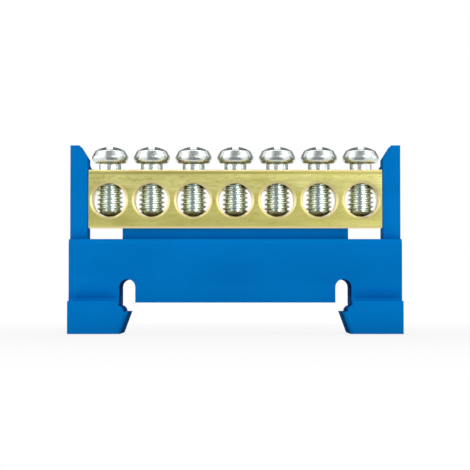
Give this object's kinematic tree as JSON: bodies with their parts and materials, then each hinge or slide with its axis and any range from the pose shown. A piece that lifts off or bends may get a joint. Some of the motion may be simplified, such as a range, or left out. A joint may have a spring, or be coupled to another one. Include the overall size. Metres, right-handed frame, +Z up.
{
  "type": "neutral terminal bar",
  "caption": "Brass bar with wire holes clamped by slotted screws, held between the posts of a moulded holder that clips across a mounting rail.",
  "frame": {"origin": "middle of the feet's underside, at the centre of the part's footprint", "axes": "+X along the bar, +Y from the front to the flat back, +Z up towards the screw heads"},
  "size_m": [0.051, 0.0126, 0.029],
  "materials": {
    "holder_plastic": "satin moulded blue",
    "bar_brass": "drawn, with fine lengthwise grain",
    "screw_zinc": "bright zinc plating"
  },
  "bodies": {
    "base": {"holder": "holder_plastic", "brass_bar": "bar_brass"},
    "screw_1": {"clamp_screw_1": "screw_zinc"},
    "screw_2": {"clamp_screw_2": "screw_zinc"},
    "screw_3": {"clamp_screw_3": "screw_zinc"},
    "screw_4": {"clamp_screw_4": "screw_zinc"},
    "screw_5": {"clamp_screw_5": "screw_zinc"},
    "screw_6": {"clamp_screw_6": "screw_zinc"},
    "screw_7": {"clamp_screw_7": "screw_zinc"}
  },
  "joints": [
    {"name": "screw_1_travel", "type": "slide", "parent": "base", "child": "screw_1", "axis": [0, 0, 1], "range_m": [0, 0.005]},
    {"name": "screw_2_travel", "type": "slide", "parent": "base", "child": "screw_2", "axis": [0, 0, 1], "range_m": [0, 0.005]},
    {"name": "screw_3_travel", "type": "slide", "parent": "base", "child": "screw_3", "axis": [0, 0, 1], "range_m": [0, 0.005]},
    {"name": "screw_4_travel", "type": "slide", "parent": "base", "child": "screw_4", "axis": [0, 0, 1], "range_m": [0, 0.005]},
    {"name": "screw_5_travel", "type": "slide", "parent": "base", "child": "screw_5", "axis": [0, 0, 1], "range_m": [0, 0.005]},
    {"name": "screw_6_travel", "type": "slide", "parent": "base", "child": "screw_6", "axis": [0, 0, 1], "range_m": [0, 0.005]},
    {"name": "screw_7_travel", "type": "slide", "parent": "base", "child": "screw_7", "axis": [0, 0, 1], "range_m": [0, 0.005]}
  ]
}
